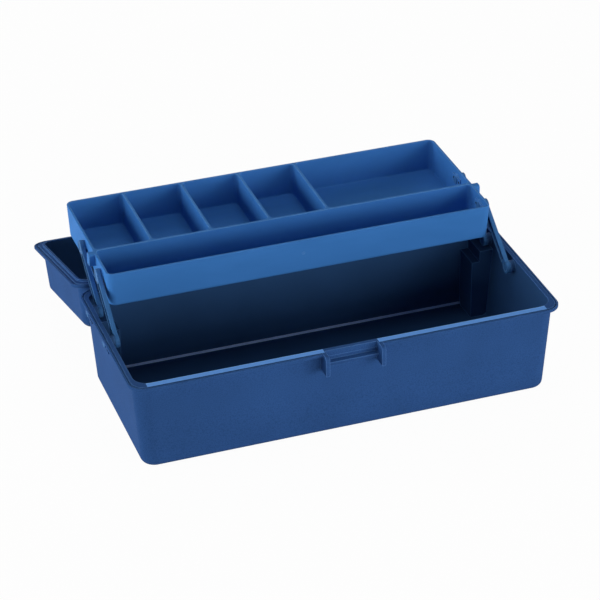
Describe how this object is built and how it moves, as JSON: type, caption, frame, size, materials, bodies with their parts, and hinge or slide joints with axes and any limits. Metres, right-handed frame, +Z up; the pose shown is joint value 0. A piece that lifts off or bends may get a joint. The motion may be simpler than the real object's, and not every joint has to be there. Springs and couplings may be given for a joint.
{
  "type": "tackle box",
  "caption": "Plastic tackle box with a hinged lid and a compartment tray that swings up and back on parallel arms.",
  "frame": {"origin": "middle of the base's underside, on the surface that the box stands on", "axes": "+X along the box to the right, +Y to its back, +Z up"},
  "size_m": [0.4, 0.3993, 0.1276],
  "materials": {
    "shell_blue": "moulded polypropylene, fine matte grain",
    "tray_blue": "moulded polypropylene, smooth satin",
    "arm_blue": "moulded plastic, satin",
    "fitting_blue": "moulded plastic, satin",
    "pin_steel": "zinc-plated steel"
  },
  "bodies": {
    "base": {"base_shell": "shell_blue", "hinge_pin_left": "pin_steel", "hinge_pin_right": "pin_steel", "base_pin_front_left": "arm_blue", "base_pin_rear_left": "arm_blue", "base_pin_front_right": "arm_blue", "base_pin_rear_right": "arm_blue"},
    "lid": {"lid_shell": "shell_blue", "latch_pin": "pin_steel"},
    "tray": {"tray": "tray_blue", "tray_pin_front_left": "arm_blue", "tray_pin_rear_left": "arm_blue", "tray_pin_front_right": "arm_blue", "tray_pin_rear_right": "arm_blue"},
    "front_left_arm": {"arm_front_left": "arm_blue"},
    "rear_left_arm": {"arm_rear_left": "arm_blue"},
    "front_right_arm": {"arm_front_right": "arm_blue"},
    "rear_right_arm": {"arm_rear_right": "arm_blue"},
    "latch": {"latch": "fitting_blue"},
    "handle": {"handle": "fitting_blue"}
  },
  "joints": [
    {"name": "lid_hinge", "type": "hinge", "parent": "base", "child": "lid", "pos_m": [0, 0.0944, 0.0873], "axis": [1, 0, 0], "range_deg": [0, 194.8]},
    {"name": "front_left_arm_hinge", "type": "hinge", "parent": "base", "child": "front_left_arm", "pos_m": [-0.1867, 0.0065, 0.0795], "axis": [1, 0, 0], "range_deg": [0, 121.9]},
    {"name": "front_right_arm_hinge", "type": "hinge", "parent": "base", "child": "front_right_arm", "pos_m": [0.1867, 0.0065, 0.0795], "axis": [1, 0, 0], "range_deg": [0, 121.9]},
    {"name": "rear_left_arm_hinge", "type": "hinge", "parent": "base", "child": "rear_left_arm", "pos_m": [-0.1867, 0.0615, 0.0795], "axis": [1, 0, 0], "range_deg": [0, 121.9]},
    {"name": "rear_right_arm_hinge", "type": "hinge", "parent": "base", "child": "rear_right_arm", "pos_m": [0.1867, 0.0615, 0.0795], "axis": [1, 0, 0], "range_deg": [0, 121.9]},
    {"name": "tray_pivot", "type": "hinge", "parent": "front_left_arm", "child": "tray", "pos_m": [-0.1867, 0.06053, 0.11705], "axis": [1, 0, 0], "range_deg": [-121.9, 0]},
    {"name": "latch_hinge", "type": "hinge", "parent": "lid", "child": "latch", "pos_m": [0, 0.27169, 0.02943], "axis": [1, 0, 0], "range_deg": [0, 105]},
    {"name": "handle_hinge", "type": "hinge", "parent": "lid", "child": "handle", "pos_m": [0, 0.16387, 0.02781], "axis": [-1, 0, 0], "range_deg": [0, 90]}
  ],
  "couplings": [
    {"joint": "front_left_arm_hinge", "follows": "lid_hinge", "ratio": 0.62526},
    {"joint": "front_right_arm_hinge", "follows": "lid_hinge", "ratio": 0.62526},
    {"joint": "rear_left_arm_hinge", "follows": "lid_hinge", "ratio": 0.62526},
    {"joint": "rear_right_arm_hinge", "follows": "lid_hinge", "ratio": 0.62526},
    {"joint": "tray_pivot", "follows": "lid_hinge", "ratio": -0.62526}
  ]
}
